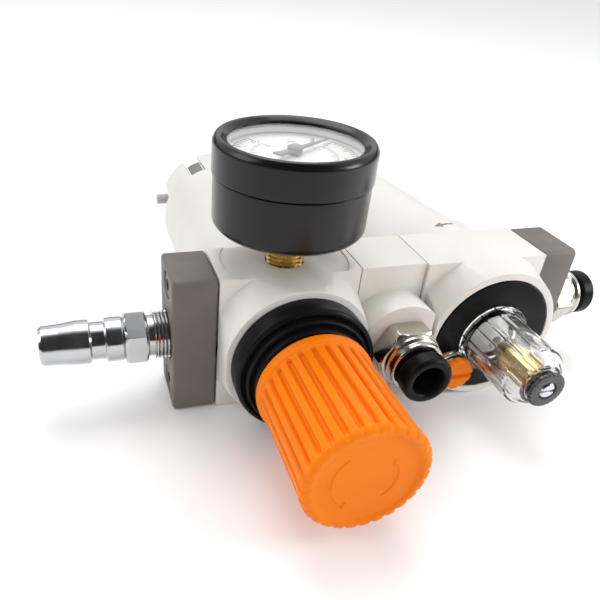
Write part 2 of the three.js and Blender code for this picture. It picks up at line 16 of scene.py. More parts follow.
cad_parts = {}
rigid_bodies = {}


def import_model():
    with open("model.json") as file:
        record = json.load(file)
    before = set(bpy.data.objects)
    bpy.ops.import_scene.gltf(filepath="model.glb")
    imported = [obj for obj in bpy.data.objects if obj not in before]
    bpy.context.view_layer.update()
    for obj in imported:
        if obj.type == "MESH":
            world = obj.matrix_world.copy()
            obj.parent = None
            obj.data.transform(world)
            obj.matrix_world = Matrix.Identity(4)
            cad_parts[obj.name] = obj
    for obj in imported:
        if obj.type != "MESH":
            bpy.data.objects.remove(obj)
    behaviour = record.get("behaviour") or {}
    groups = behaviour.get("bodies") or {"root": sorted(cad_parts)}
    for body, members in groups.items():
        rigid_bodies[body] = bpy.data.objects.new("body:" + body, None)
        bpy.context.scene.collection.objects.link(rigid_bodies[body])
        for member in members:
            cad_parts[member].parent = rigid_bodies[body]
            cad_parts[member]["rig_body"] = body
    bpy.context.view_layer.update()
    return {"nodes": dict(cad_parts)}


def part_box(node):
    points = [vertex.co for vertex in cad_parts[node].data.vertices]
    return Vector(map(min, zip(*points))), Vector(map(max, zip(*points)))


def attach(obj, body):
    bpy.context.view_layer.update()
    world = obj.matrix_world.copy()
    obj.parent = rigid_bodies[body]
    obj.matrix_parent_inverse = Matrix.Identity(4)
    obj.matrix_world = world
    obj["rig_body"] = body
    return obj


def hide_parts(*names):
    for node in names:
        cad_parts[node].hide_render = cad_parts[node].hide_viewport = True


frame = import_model()
MM = 0.001
TAU = 2 * math.pi


def middle(node):
    """The centre of a node's box, in millimetres."""
    low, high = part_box(node)
    return np.array((low + high) / 2) / MM


def span(node, axis):
    """A node's lowest and highest station along an axis, in millimetres."""
    low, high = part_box(node)
    k = "xyz".index(axis)
    return low[k] / MM, high[k] / MM


AXIS_Z = middle("adjusting_knob")[2]
FILTER_X = middle("adjusting_knob")[0]
TAKEOFF_X = middle("takeoff_release_collar")[0]
LUBE_X = middle("lubricator_cover")[0]

# %% [markdown]
# ## Camera, floor and light
# The camera looks down on the knob's side from the left, close enough for strong perspective. The floor
# and the surroundings are nearly white, as on a light table. Bright metal needs something dark to
# mirror, so glossy rays see a studio with a grey horizon and two soft windows, and no other ray does.

# %% camera
CAMERA = {"place": (-52.7, -138.9, 114.3), "yaw": 18.21, "pitch": 33.76, "roll": -4.23}
LENS, SENSOR = 37.776, 36.0
SHIFT = (0.0779, 0.05665)


def aim(yaw, pitch, roll):
    """The camera's turn, from its heading, its dip below the horizon and its tilt about the view."""
    yaw, pitch, roll = (math.radians(a) for a in (yaw, pitch, roll))
    ahead = Vector((math.sin(yaw) * math.cos(pitch), math.cos(yaw) * math.cos(pitch), -math.sin(pitch)))
    right = Vector((math.cos(yaw), -math.sin(yaw), 0))
    down = ahead.cross(right)
    side = math.cos(roll) * right + math.sin(roll) * down
    foot = -math.sin(roll) * right + math.cos(roll) * down
    return Matrix((side, -foot, -ahead)).transposed()


lens = bpy.data.cameras.new("camera")
lens.sensor_width = SENSOR
lens.lens = LENS
lens.shift_x, lens.shift_y = SHIFT
lens.clip_start = 0.005
camera = bpy.data.objects.new("camera", lens)
bpy.context.scene.collection.objects.link(camera)
turn_matrix = aim(CAMERA["yaw"], CAMERA["pitch"], CAMERA["roll"]).to_4x4()
camera.matrix_world = Matrix.Translation(Vector(CAMERA["place"]) * MM) @ turn_matrix
bpy.context.scene.camera = camera
print("camera: %.1f mm lens" % lens.lens)


# %% soft windows
def softbox(name, place, target, size, watts, tint=(1, 1, 1)):
    """A square area light at place, facing target; sizes in metres."""
    light = bpy.data.lights.new(name, "AREA")
    light.shape = "SQUARE"
    light.size = size
    light.energy = watts
    light.color = tint
    holder = bpy.data.objects.new(name, light)
    bpy.context.scene.collection.objects.link(holder)
    holder.location = place
    holder.rotation_euler = (Vector(target) - Vector(place)).to_track_quat("-Z", "Y").to_euler()
    return holder


softbox("window_above", (0.05, 0.35, 0.75), (0.03, 0.0, 0.02), 0.50, 2.7)
softbox("window_left", (-0.60, 0.10, 0.45), (0.0, 0.0, 0.02), 0.40, 1.2)
softbox("window_right", (0.30, -0.14, 0.16), (0.07, -0.01, 0.02), 0.12, 0.42)


# %% surroundings
FRONT = (-0.30, -0.78, 0.55)


def surroundings():
    """Diffuse light: white from above, dimmer towards the horizon. Mirrored light: bright overhead, dark at
    the horizon and around FRONT, where the camera stands. Only glossy rays that no glass let through see it."""
    world = bpy.data.worlds.new("studio")
    bpy.context.scene.world = world
    world.use_nodes = True
    nodes, links = world.node_tree.nodes, world.node_tree.links
    nodes.clear()
    where = nodes.new("ShaderNodeTexCoord")
    parts = nodes.new("ShaderNodeSeparateXYZ")
    links.new(where.outputs["Generated"], parts.inputs[0])

    def ramp(value, stops):
        made = nodes.new("ShaderNodeValToRGB")
        while len(made.color_ramp.elements) < len(stops):
            made.color_ramp.elements.new(0.5)
        for stop, (place, level) in zip(made.color_ramp.elements, stops):
            stop.position = place
            stop.color = (level, level, level, 1)
        links.new(value, made.inputs["Fac"])
        return made.outputs["Color"]

    def background(level):
        made = nodes.new("ShaderNodeBackground")
        links.new(level, made.inputs["Color"])
        return made.outputs[0]

    def math_node(kind, first, second):
        made = nodes.new("ShaderNodeMath" if kind == "MULTIPLY" else "ShaderNodeVectorMath")
        made.operation = kind
        links.new(first, made.inputs[0])
        if isinstance(second, tuple):
            made.inputs[1].default_value = second
        else:
            links.new(second, made.inputs[1])
        return made.outputs["Value"]

    out = nodes.new("ShaderNodeOutputWorld")
    plain = background(ramp(parts.outputs["Z"], [(0.0, 0.86), (0.25, 0.90), (0.7, 0.92)]))
    to_front = math_node("DOT_PRODUCT", where.outputs["Generated"], FRONT)
    overhead = ramp(parts.outputs["Z"], [(0.0, 0.08), (0.12, 0.08), (0.24, 1.0), (1.0, 1.0)])
    behind = ramp(to_front, [(0.0, 1.0), (0.48, 0.95), (0.66, 0.05), (1.0, 0.03)])
    mirrored = background(math_node("MULTIPLY", overhead, behind))
    path = nodes.new("ShaderNodeLightPath")
    direct = nodes.new("ShaderNodeMath")
    direct.operation = "SUBTRACT"
    direct.use_clamp = True
    links.new(path.outputs["Is Glossy Ray"], direct.inputs[0])
    links.new(path.outputs["Is Transmission Ray"], direct.inputs[1])
    white = nodes.new("ShaderNodeBackground")
    white.inputs["Color"].default_value = (1, 1, 1, 1)
    seen = nodes.new("ShaderNodeMixShader")
    links.new(path.outputs["Is Camera Ray"], seen.inputs["Fac"])
    links.new(plain, seen.inputs[1])
    links.new(white.outputs[0], seen.inputs[2])
    choose = nodes.new("ShaderNodeMixShader")
    links.new(direct.outputs[0], choose.inputs["Fac"])
    links.new(seen.outputs[0], choose.inputs[1])
    links.new(mirrored, choose.inputs[2])
    links.new(choose.outputs[0], out.inputs["Surface"])


surroundings()
bpy.context.scene.view_settings.view_transform = "Standard"
print("light: two soft windows and a white surround")

# %% [markdown]
# ## Making surfaces
# Almost every piece of this unit was turned or moulded round, so one function covers most of them: an
# outline of radius and station carried round an axis. Its corners are rounded first, because no real
# edge is sharp, and a second function may change the radius with the angle: that cuts ribs, hexagons
# and threads into the same skin.

# %% outlines
CORNER_STEPS = 4


def rounded(outline, radius=0.3, closed=True):
    """Each corner becomes a quadratic curve that starts and ends radius away from it, or at most 45%
    of the way to the next corner."""
    outline = np.asarray(outline, float)
    t = np.linspace(0, 1, CORNER_STEPS + 1)[:, None]
    out = []
    for i, corner in enumerate(outline):
        if not closed and i in (0, len(outline) - 1):
            out.append(corner[None])
            continue
        before, after = outline[i - 1], outline[(i + 1) % len(outline)]
        start, end = (corner + (p - corner) * min(radius / np.linalg.norm(p - corner), 0.45)
                      for p in (before, after))
        out.append((1 - t) ** 2 * start + 2 * t * (1 - t) * corner + t ** 2 * end)
    return np.vstack(out)


def dense(outline, step):
    """The same outline with points no further apart than step, spread evenly along each stretch."""
    gaps = np.linalg.norm(np.diff(outline, axis=0), axis=1)
    pieces = [np.linspace(a, b, max(2, int(np.ceil(g / step)) + 1))[:-1]
              for a, b, g in zip(outline[:-1], outline[1:], gaps)]
    return np.vstack(pieces + [outline[-1:]])


# %% meshes
SMOOTH = math.radians(35)


def piece(name, points, faces, material, body, replaces=(), slot=None):
    """A mesh from points in millimetres, welded, facing out, smooth up to 35 degrees, on its body."""
    mesh = bpy.data.meshes.new(name)
    mesh.from_pydata(np.asarray(points) * MM, [], np.asarray(faces).tolist())
    work = bmesh.new()
    work.from_mesh(mesh)
    bmesh.ops.remove_doubles(work, verts=work.verts, dist=1e-7)
    if work.calc_volume(signed=True) < 0:
        bmesh.ops.reverse_faces(work, faces=work.faces)
    work.to_mesh(mesh)
    work.free()
    mesh.shade_smooth()
    mesh.set_sharp_from_angle(angle=SMOOTH)
    holder = bpy.data.objects.new(name, mesh)
    bpy.context.scene.collection.objects.link(holder)
    mesh.materials.append(material)
    weighted = holder.modifiers.new("flat faces stay flat", "WEIGHTED_NORMAL")
    weighted.keep_sharp = True
    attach(holder, body)
    if replaces:
        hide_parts(*replaces)
    return holder


def grid_faces(rows, columns, close_rows):
    """Quads between neighbouring points of a grid whose columns always close round."""
    last = rows if close_rows else rows - 1
    i, j = np.meshgrid(np.arange(last), np.arange(columns), indexing="ij")
    up, right = (i + 1) % rows, (j + 1) % columns
    quads = np.stack([i * columns + j, i * columns + right, up * columns + right, up * columns + j], -1)
    return quads.reshape(-1, 4)


def turned(axis, centre, outline, sides=160, shape=None):
    """point(u, v) = centre + station(v) along the axis + radius(v) times (cos u, sin u) across it.
    An outline that ends on the axis at both ends is open there, and any other closes on itself.
    shape(radius, station, angle) may return changed radii and stations."""
    outline = np.asarray(outline, float)
    angle = np.arange(sides) * TAU / sides
    radius = np.repeat(outline[:, :1], sides, 1)
    station = np.repeat(outline[:, 1:], sides, 1)
    if shape:
        radius, station = shape(radius, station, angle[None])
    across = [radius * np.cos(angle), radius * np.sin(angle)]
    places = {"x": [station, *across], "y": [across[0], station, across[1]], "z": [*across, station]}[axis]
    points = np.stack(places, -1).reshape(-1, 3) + np.asarray(centre, float)
    on_axis = outline[0, 0] == 0 and outline[-1, 0] == 0
    return points, grid_faces(len(outline), sides, not on_axis)


def flats(count, across, start, end, phase=0.0):
    """A shape for turned(): between two stations the radius is held to a polygon with that width across
    flats, so the outline's own slopes become the chamfers of its corners."""
    def shape(radius, station, angle):
        wrapped = (angle + phase) % (TAU / count) - math.pi / count
        limit = across / 2 / np.cos(wrapped)
        low, high = sorted((start, end))
        inside = (station >= low) & (station <= high) & (radius > across / 2 * 0.8)
        return np.where(inside, np.minimum(radius, limit), radius), station
    return shape


def thread(radius, start, end, pitch=1.2, depth=0.5):
    """Outline points of thread crests between two stations, as seen from the side."""
    count = max(2, int(abs(end - start) / pitch))
    stations = np.linspace(start, end, 4 * count + 1)
    phase = np.arange(len(stations)) % 4
    return [(radius - depth * (0.0, 0.15, 1.0, 0.85)[k], s) for k, s in zip(phase, stations)]


# %% a CAD piece with its edges eased
def eased(node, material, width=0.35, segments=3, angle=30):
    """A copy of a CAD node, welded, its flat faces joined, with every sharp edge rounded to width."""
    source = frame["nodes"][node]
    mesh = source.data.copy()
    work = bmesh.new()
    work.from_mesh(mesh)
    bmesh.ops.remove_doubles(work, verts=work.verts, dist=1e-6)
    bmesh.ops.dissolve_limit(work, angle_limit=math.radians(0.5), verts=work.verts, edges=work.edges)
    work.to_mesh(mesh)
    work.free()
    mesh.shade_smooth()
    copy = bpy.data.objects.new(node + "_finished", mesh)
    bpy.context.scene.collection.objects.link(copy)
    mesh.materials.clear()
    mesh.materials.append(material)
    bevel = copy.modifiers.new("eased edges", "BEVEL")
    bevel.width = width * MM
    bevel.segments = segments
    bevel.limit_method = "ANGLE"
    bevel.angle_limit = math.radians(angle)
    bevel.harden_normals = True
    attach(copy, source["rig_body"])
    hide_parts(node)
    return copy


print("helpers ready")

# %% [markdown]
# ## Finishes
# Each finish starts from one principled shader. Its detail is worked out from the place on the piece:
# a fine grain that tips the surface, a slow change of tone, and an uneven gloss. Turned metal gets
# grooves: a noise squeezed along the turning axis, so it changes quickly along it and slowly around.


# %% finish helper
def finish(name, color, roughness, metallic=0.0, grain=None, tone=None, gloss=None, lathe=None, **sockets):
    """grain=(scale, height mm), tone=(scale, darker color), gloss=(scale, lowest, highest roughness),
    lathe=(axis, height mm); any other value is set on the shader's own socket of that name. Fully clear
    finishes let the lamps' light straight through, so that what they cover isn't in their shadow."""
    material = bpy.data.materials.new(name)
    material.use_nodes = True
    nodes, links = material.node_tree.nodes, material.node_tree.links
    shader = nodes["Principled BSDF"]
    shader.inputs["Base Color"].default_value = (*color, 1)
    shader.inputs["Roughness"].default_value = roughness
    shader.inputs["Metallic"].default_value = metallic
    for socket, value in sockets.items():
        shader.inputs[socket.replace("_", " ")].default_value = value
    where = nodes.new("ShaderNodeTexCoord")

    def noise(scale, detail=2.0, stretch=None):
        texture = nodes.new("ShaderNodeTexNoise")
        texture.inputs["Scale"].default_value = scale
        texture.inputs["Detail"].default_value = detail
        source = where.outputs["Object"]
        if stretch:
            mapping = nodes.new("ShaderNodeMapping")
            mapping.inputs["Scale"].default_value = stretch
            links.new(source, mapping.inputs["Vector"])
            source = mapping.outputs["Vector"]
        links.new(source, texture.inputs["Vector"])
        return texture.outputs["Fac"]

    def between(value, low, high):
        """A noise's usual values, 0.3 to 0.7, spread from low to high."""
        spread = nodes.new("ShaderNodeMapRange")
        spread.inputs["From Min"].default_value = 0.3
        spread.inputs["From Max"].default_value = 0.7
        spread.inputs["To Min"].default_value = low
        spread.inputs["To Max"].default_value = high
        links.new(value, spread.inputs["Value"])
        return spread.outputs["Result"]

    if tone:
        mix = nodes.new("ShaderNodeMix")
        mix.data_type = "RGBA"
        mix.inputs["A"].default_value = (*color, 1)
        mix.inputs["B"].default_value = (*tone[1], 1)
        links.new(between(noise(tone[0], 4.0), 0.0, 1.0), mix.inputs["Factor"])
        links.new(mix.outputs["Result"], shader.inputs["Base Color"])
    if gloss:
        links.new(between(noise(gloss[0], 3.0), gloss[1], gloss[2]), shader.inputs["Roughness"])
    last = None
    for pattern in (grain, lathe):
        if not pattern:
            continue
        bump = nodes.new("ShaderNodeBump")
        bump.inputs["Distance"].default_value = pattern[1] * MM
        if pattern is grain:
            height = noise(pattern[0], 3.0)
        else:
            squeeze = tuple(9000.0 if a == pattern[0] else 60.0 for a in "xyz")
            height = noise(1.0, 2.0, squeeze)
        links.new(height, bump.inputs["Height"])
        if last:
            links.new(last, bump.inputs["Normal"])
        last = bump.outputs["Normal"]
    if last:
        links.new(last, shader.inputs["Normal"])
    if sockets.get("Transmission_Weight") == 1.0:
        lamps = nodes.new("ShaderNodeLightPath")
        through = nodes.new("ShaderNodeBsdfTransparent")
        through.inputs["Color"].default_value = (*color, 1)
        choose = nodes.new("ShaderNodeMixShader")
        links.new(lamps.outputs["Is Shadow Ray"], choose.inputs["Fac"])
        links.new(shader.outputs[0], choose.inputs[1])
        links.new(through.outputs[0], choose.inputs[2])
        links.new(choose.outputs[0], nodes["Material Output"].inputs["Surface"])
    return material


# %% [markdown]
# ### Which finish is which
# The module bodies are painted castings: off-white, satin, with the faint orange peel of baked paint.
# The end plates are a warm grey with a dry grain. Knob and fill plug are one orange moulding plastic,
# a little translucent at its edges. Steel, nickel and brass share one recipe with different colours.

# %% finishes
PAINT = finish("body paint", (0.70, 0.675, 0.63), 0.36, grain=(900, 0.018),
               tone=(35, (0.665, 0.635, 0.585)), gloss=(120, 0.32, 0.46), Coat_Weight=0.12, Coat_Roughness=0.25)
GUARD = finish("guard plastic", (0.66, 0.65, 0.625), 0.38, grain=(500, 0.012),
               tone=(28, (0.62, 0.605, 0.575)), gloss=(90, 0.34, 0.48))
PLATE = finish("end plate grey", (0.162, 0.143, 0.126), 0.52, grain=(2600, 0.03),
               tone=(60, (0.134, 0.118, 0.104)), gloss=(200, 0.45, 0.62), Specular_IOR_Level=0.35)
BONNET = finish("bonnet black", (0.004, 0.004, 0.0045), 0.34, grain=(2200, 0.012), tone=(80, (0.007, 0.007, 0.008)),
                gloss=(150, 0.26, 0.42), Specular_IOR_Level=0.12)
CASE = finish("gauge case black", (0.004, 0.004, 0.0045), 0.22, grain=(1800, 0.005),
              tone=(70, (0.007, 0.007, 0.0075)), gloss=(110, 0.16, 0.28), Specular_IOR_Level=0.34)
ORANGE = finish("knob orange", (0.86, 0.205, 0.002), 0.38, grain=(1500, 0.02),
                tone=(50, (0.80, 0.178, 0.002)), gloss=(130, 0.32, 0.48), Specular_IOR_Level=0.14,
                Subsurface_Weight=0.08, Subsurface_Scale=0.0012)
STEEL_X = finish("bright steel", (0.62, 0.63, 0.65), 0.16, 1.0, lathe=("x", 0.004),
                 tone=(90, (0.54, 0.55, 0.57)), gloss=(300, 0.11, 0.22))
STEEL_Y = finish("bright steel along the knob", (0.66, 0.67, 0.69), 0.18, 1.0, lathe=("y", 0.004),
                 tone=(90, (0.58, 0.59, 0.61)), gloss=(300, 0.13, 0.26))
SCREWS = finish("blackened steel", (0.10, 0.10, 0.105), 0.34, 1.0, grain=(2600, 0.01),
                tone=(260, (0.06, 0.06, 0.062)), gloss=(260, 0.26, 0.42))
NICKEL_X = finish("nickel across", (0.60, 0.575, 0.52), 0.20, 1.0, lathe=("x", 0.005),
                  tone=(120, (0.50, 0.475, 0.42)), gloss=(260, 0.13, 0.28))
NICKEL_Y = finish("nickel along the knob", (0.60, 0.575, 0.52), 0.20, 1.0, lathe=("y", 0.005),
                  tone=(120, (0.50, 0.475, 0.42)), gloss=(260, 0.13, 0.28))
BRASS_Y = finish("turned brass", (0.80, 0.66, 0.38), 0.22, 1.0, lathe=("y", 0.005),
                 tone=(140, (0.70, 0.55, 0.28)), gloss=(260, 0.15, 0.32))
BRASS_Z = finish("gauge brass", (0.76, 0.55, 0.20), 0.22, 1.0, lathe=("z", 0.006),
                 tone=(140, (0.60, 0.40, 0.13)), gloss=(260, 0.16, 0.34))
RUBBER = finish("nitrile rubber", (0.010, 0.010, 0.010), 0.55, grain=(3000, 0.01),
                tone=(100, (0.02, 0.02, 0.02)), gloss=(200, 0.45, 0.65), Specular_IOR_Level=0.3)
POROUS = finish("porous filter", (0.74, 0.70, 0.60), 0.9, grain=(2500, 0.25),
                tone=(400, (0.55, 0.52, 0.43)))
DIAL = finish("dial white", (0.75, 0.75, 0.74), 0.45, grain=(2500, 0.006),
              tone=(40, (0.72, 0.72, 0.70)), gloss=(120, 0.40, 0.52))
WALL_GREY = finish("gauge inner wall", (0.45, 0.45, 0.45), 0.5, grain=(2500, 0.006), tone=(60, (0.40, 0.40, 0.40)))
INK = finish("dial ink", (0.015, 0.015, 0.017), 0.5, grain=(4000, 0.004), tone=(300, (0.03, 0.03, 0.032)))
PRINT = finish("grey print", (0.16, 0.16, 0.17), 0.5, grain=(4000, 0.004), tone=(300, (0.20, 0.20, 0.21)))
POINTER = finish("pointer grey", (0.10, 0.10, 0.10), 0.35, 0.3, grain=(2500, 0.004),
                 tone=(200, (0.14, 0.14, 0.14)), gloss=(200, 0.28, 0.42))
CLEAR = finish("clear polycarbonate", (0.93, 0.94, 0.94), 0.03, grain=(350, 0.01), gloss=(160, 0.01, 0.05),
               Transmission_Weight=1.0, IOR=1.50)
WINDOW = finish("gauge window", (0.99, 0.99, 0.99), 0.01, grain=(60, 0.002), gloss=(60, 0.0, 0.02),
                Transmission_Weight=1.0, IOR=1.40)
SMOKE = finish("smoky plastic", (0.10, 0.10, 0.105), 0.2, grain=(1200, 0.01), gloss=(200, 0.14, 0.28),
               tone=(150, (0.06, 0.06, 0.065)), Transmission_Weight=0.55, IOR=1.5)
LATCH = finish("latch grey", (0.20, 0.20, 0.195), 0.5, grain=(1800, 0.02), tone=(90, (0.16, 0.16, 0.155)),
               gloss=(160, 0.42, 0.58))
DRAIN = finish("drain grey", (0.52, 0.52, 0.51), 0.45, grain=(1500, 0.015), tone=(90, (0.46, 0.46, 0.45)),
               gloss=(160, 0.38, 0.52))
FLOOR = finish("light table", (0.90, 0.90, 0.90), 0.6, grain=(40, 0.02), tone=(3, (0.89, 0.89, 0.895)))
print("finishes:", len(bpy.data.materials))


# %% floor
def floor():
    """A wide flat sheet just under the unit, which isn't part of it."""
    half = 4000.0
    low = span("filter_regulator_body", "z")[0] - 0.05
    corners = [(-half, -half, low), (half, -half, low), (half, half, low), (-half, half, low)]
    mesh = bpy.data.meshes.new("floor")
    mesh.from_pydata(np.array(corners) * MM, [], [(0, 1, 2, 3)])
    mesh.materials.append(FLOOR)
    sheet = bpy.data.objects.new("floor", mesh)
    bpy.context.scene.collection.objects.link(sheet)


floor()

# %% [markdown]
# ## Castings
# Bodies, end plates and screws have their true shape in the frame already. A casting differs from it
# only by its eased edges, so each is a copy with a small rounding, wider on the cast bodies than on the
# machined screws.

# %% castings and screws
for node, width in (("filter_regulator_body", 0.3), ("takeoff_block", 0.55), ("lubricator_body", 0.5)):
    eased(node, PAINT, width=width)
for node in ("inlet_end_plate", "outlet_end_plate"):
    eased(node, PLATE, width=0.4)
for side in ("inlet", "outlet"):
    for number in (1, 2):
        eased(f"{side}_clamp_screw_{number}", SCREWS, width=0.15)
print("castings eased")

# %% [markdown]
# ## Bonnet
# The black bonnet closes the spring chamber. It steps down in three rings towards the knob; each step
# has a small round on its edge that catches the light.

# %% bonnet
FILTER_AT = (FILTER_X, 0, AXIS_Z)
inner, outer = span("regulator_bonnet", "y")[1], span("regulator_bonnet", "y")[0]
RING_R = (span("regulator_bonnet", "x")[1] - span("regulator_bonnet", "x")[0]) / 2
BOSS_Y = span("filter_regulator_body", "y")[0]
step = BOSS_Y - 0.05
bonnet_outline = rounded([
    (16.3, inner), (16.3, step), (RING_R, step), (RING_R, -23.2), (17.6, -23.9), (16.9, -23.9), (16.6, -23.0),
    (16.2, -23.0), (16.0, -25.3), (15.4, -25.6), (14.9, -24.9), (14.6, -24.9), (14.4, -27.2), (13.4, -27.6),
    (11.4, -27.6), (11.4, outer), (5.2, outer), (5.2, -30.4), (10.4, -30.4), (10.4, -24), (13.8, -22),
    (13.8, inner)], 0.35)
piece("bonnet", *turned("y", FILTER_AT, bonnet_outline, 192), BONNET, "housing", ["regulator_bonnet"],
      "bonnet_black")

# %% [markdown]
# ## Adjusting knob
# The knob is pulled out, turned and pushed home. Broad ribs run from its collar over its rim, with
# narrow rounded grooves between them, and two raised arcs with pointed heads lie on its sunk end. All
# of it is one skin: an outline turned about the axis whose radius dips at the grooves and whose end
# face rises at the arcs.

# %% knob
KNOB_BASE, KNOB_END = span("adjusting_knob", "y")[1], span("adjusting_knob", "y")[0]
RIBS = 28
GROOVE = 1.05
COLLAR = 3.2


def smooth(value):
    """0 below 0, 1 above 1 and a soft S between."""
    t = np.clip(value, 0, 1)
    return t * t * (3 - 2 * t)


def arrows(radius, angle):
    """Height of two thin raised arcs on the end face, each with a pointed head at one end."""
    height = np.zeros(np.broadcast(radius, angle).shape)
    for start, length, ring in ((2.2, 1.9, 8.0), (5.3, 1.5, 7.0)):
        along = (angle - start) % TAU
        head = 0.22
        width = np.where(along < length, 0.22, 0.95 * (1 - (along - length) / head))
        inside = (along < length + head) & (along > 0.02)
        height = np.maximum(height, np.where(inside, smooth((width - np.abs(radius - ring)) / 0.16), 0))
    return height


def knob_shape(radius, station, angle):
    """Grooves between the ribs, which start after the collar and run out over the rim of the end face,
    and the raised arcs."""
    from_base, from_end = KNOB_BASE - station, station - KNOB_END
    wave = 0.5 + 0.5 * np.cos(RIBS * angle)
    notch = smooth((wave - 0.58) / 0.34)
    fade = smooth((from_base - COLLAR) / 0.7)
    rim = 0.45 + 0.55 * smooth((from_end - 1.6) / 1.5)
    outside = radius > 12.9
    grooved = np.where(outside, radius - GROOVE * notch * fade * rim, radius)
    on_end = (radius < 10.6) & (from_end < 2.0)
    return grooved, np.where(on_end, station - 0.28 * arrows(radius, angle), station)


knob_outline = rounded([
    (0, KNOB_END + 0.7), (11.6, KNOB_END + 0.7), (12.4, KNOB_END + 0.1), (13.6, KNOB_END), (14.7, KNOB_END + 0.8),
    (14.7, KNOB_END + 2.4), (14.5, KNOB_END + 3.4), (14.2, KNOB_BASE - 3.2), (14.85, KNOB_BASE - 2.7),
    (14.85, KNOB_BASE - 0.3), (14.5, KNOB_BASE), (12.3, KNOB_BASE), (12.3, KNOB_BASE - 8), (5.4, KNOB_BASE - 8),
    (5.4, -55), (0, -55)], 0.6, closed=False)
FACE_STEP, SIDE_STEP, POINTS_PER_RIB = 0.16, 0.7, 16
knob_rows = np.vstack([dense(knob_outline[:2], FACE_STEP)[:-1], dense(knob_outline[1:], SIDE_STEP)])
knob = piece("knob", *turned("y", FILTER_AT, knob_rows, RIBS * POINTS_PER_RIB, knob_shape), ORANGE, "knob",
             ["adjusting_knob"], "knob_orange")
print("knob:", len(knob.data.polygons), "faces")

# %% [markdown]
# ## Inside the regulator
# Screw, spring seat, spring, diaphragm and valve are hidden until the unit is opened. Their CAD shapes
# are right, so they keep them and only take real finishes.

# %% inner parts
INNER = {
    STEEL_Y: ("adjusting_screw", "spring_seat", "main_spring", "valve_spring"),
    BRASS_Y: ("diaphragm_plate", "valve_poppet"),
    BRASS_Z: ("gauge_movement", "bourdon_tube"),
    RUBBER: ("diaphragm", "seal_inlet", "seal_takeoff", "seal_lubricator", "seal_outlet", "fill_plug_seal"),
    POROUS: ("filter_element",),
    BONNET: ("swirl_vane", "filter_baffle"),
    CLEAR: ("oil_pickup_tube",),
    STEEL_X: ("gauge_stop_pin",),
}
for material, nodes in INNER.items():
    for node in nodes:
        mesh = frame["nodes"][node].data
        mesh.materials.clear()
        mesh.materials.append(material)
print("inner parts finished:", sum(len(nodes) for nodes in INNER.values()))

# %% [markdown]
# ## Pressure gauge
# A 40 mm gauge: a cup of black steel, a snap-on ring with a rounded front edge, a flat window, a white
# dial with black divisions and a balanced pointer. Case and ring are turned; the divisions are small
# raised bars placed by a formula, and the numbers are the plain ones that any gauge carries.

# %% gauge case and ring
GAUGE_AT = (*middle("gauge_bezel")[:2], 0)
CASE_LOW, CASE_HIGH = span("gauge_case", "z")
RING_LOW, RING_HIGH = span("gauge_bezel", "z")
CASE_R = (span("gauge_case", "x")[1] - span("gauge_case", "x")[0]) / 2
BEZEL_R = (span("gauge_bezel", "x")[1] - span("gauge_bezel", "x")[0]) / 2
OPEN_R = 16.2
case_outline = rounded([
    (5.3, CASE_LOW), (17.8, CASE_LOW), (CASE_R, CASE_LOW + 1.5), (CASE_R, CASE_HIGH - 0.12),
    (CASE_R - 0.12, CASE_HIGH), (17.9, CASE_HIGH), (17.9, 51.4), (16.8, 50.5), (5.3, 50.5)], 0.9)
piece("gauge_cup", *turned("z", GAUGE_AT, case_outline, 192), CASE, "housing", ["gauge_case"], "gauge_black")
bezel_outline = rounded([
    (18.3, RING_LOW), (BEZEL_R - 0.12, RING_LOW), (BEZEL_R, RING_LOW + 0.12), (BEZEL_R, RING_HIGH - 1.3),
    (18.9, RING_HIGH), (17.8, RING_HIGH), (OPEN_R, 70.35), (OPEN_R, 70.05), (18.3, 70.05)], 0.55)
piece("gauge_ring", *turned("z", GAUGE_AT, bezel_outline, 192), CASE, "housing", ["gauge_bezel"], "gauge_black")
window_low, window_high = span("gauge_window", "z")
window_outline = rounded([(0, window_low), (18.0, window_low), (18.0, window_high), (0, window_high)], 0.2, False)
piece("gauge_glass", *turned("z", GAUGE_AT, window_outline, 128), WINDOW, "housing", ["gauge_window"], "window")
spacer_low, spacer_high = span("gauge_spacer_ring", "z")
spacer_outline = rounded([(16.9, spacer_low), (17.7, spacer_low), (17.7, spacer_high), (16.9, spacer_high)], 0.15)
piece("gauge_inner_wall", *turned("z", GAUGE_AT, spacer_outline, 128), WALL_GREY, "housing",
      ["gauge_spacer_ring"], "dial_white")

# %% gauge stem
stem_low, stem_high = span("gauge_stem", "z")
BODY_TOP = span("filter_regulator_body", "z")[1]
stem_outline = np.vstack([[(0, stem_low), (4.4, stem_low)], thread(4.85, stem_low + 0.6, BODY_TOP + 3.4, 1.0, 0.45),
                          [(4.3, BODY_TOP + 4.0), (4.3, BODY_TOP + 4.7), (7.8, BODY_TOP + 4.8),
                           (8.4, BODY_TOP + 5.4), (8.4, BODY_TOP + 8.3), (7.8, BODY_TOP + 8.9),
                           (4.85, BODY_TOP + 9.0), (4.85, stem_high), (0, stem_high)]])
piece("gauge_socket", *turned("z", GAUGE_AT, stem_outline, 144,
                              flats(4, 12.0, BODY_TOP + 4.75, BODY_TOP + 8.95, math.pi / 4)),
      BRASS_Z, "housing", ["gauge_stem"], "brass")

# %% dial and its print
dial_low, dial_high = span("gauge_dial", "z")
dial_outline = rounded([(1.3, dial_low), (17.6, dial_low), (17.6, dial_high), (1.3, dial_high)], 0.08)
piece("dial_plate", *turned("z", GAUGE_AT, dial_outline, 128), DIAL, "housing", ["gauge_dial"], "dial_white")
ZERO, SWEEP = math.radians(32), math.radians(270)
INK_RISE = 0.05


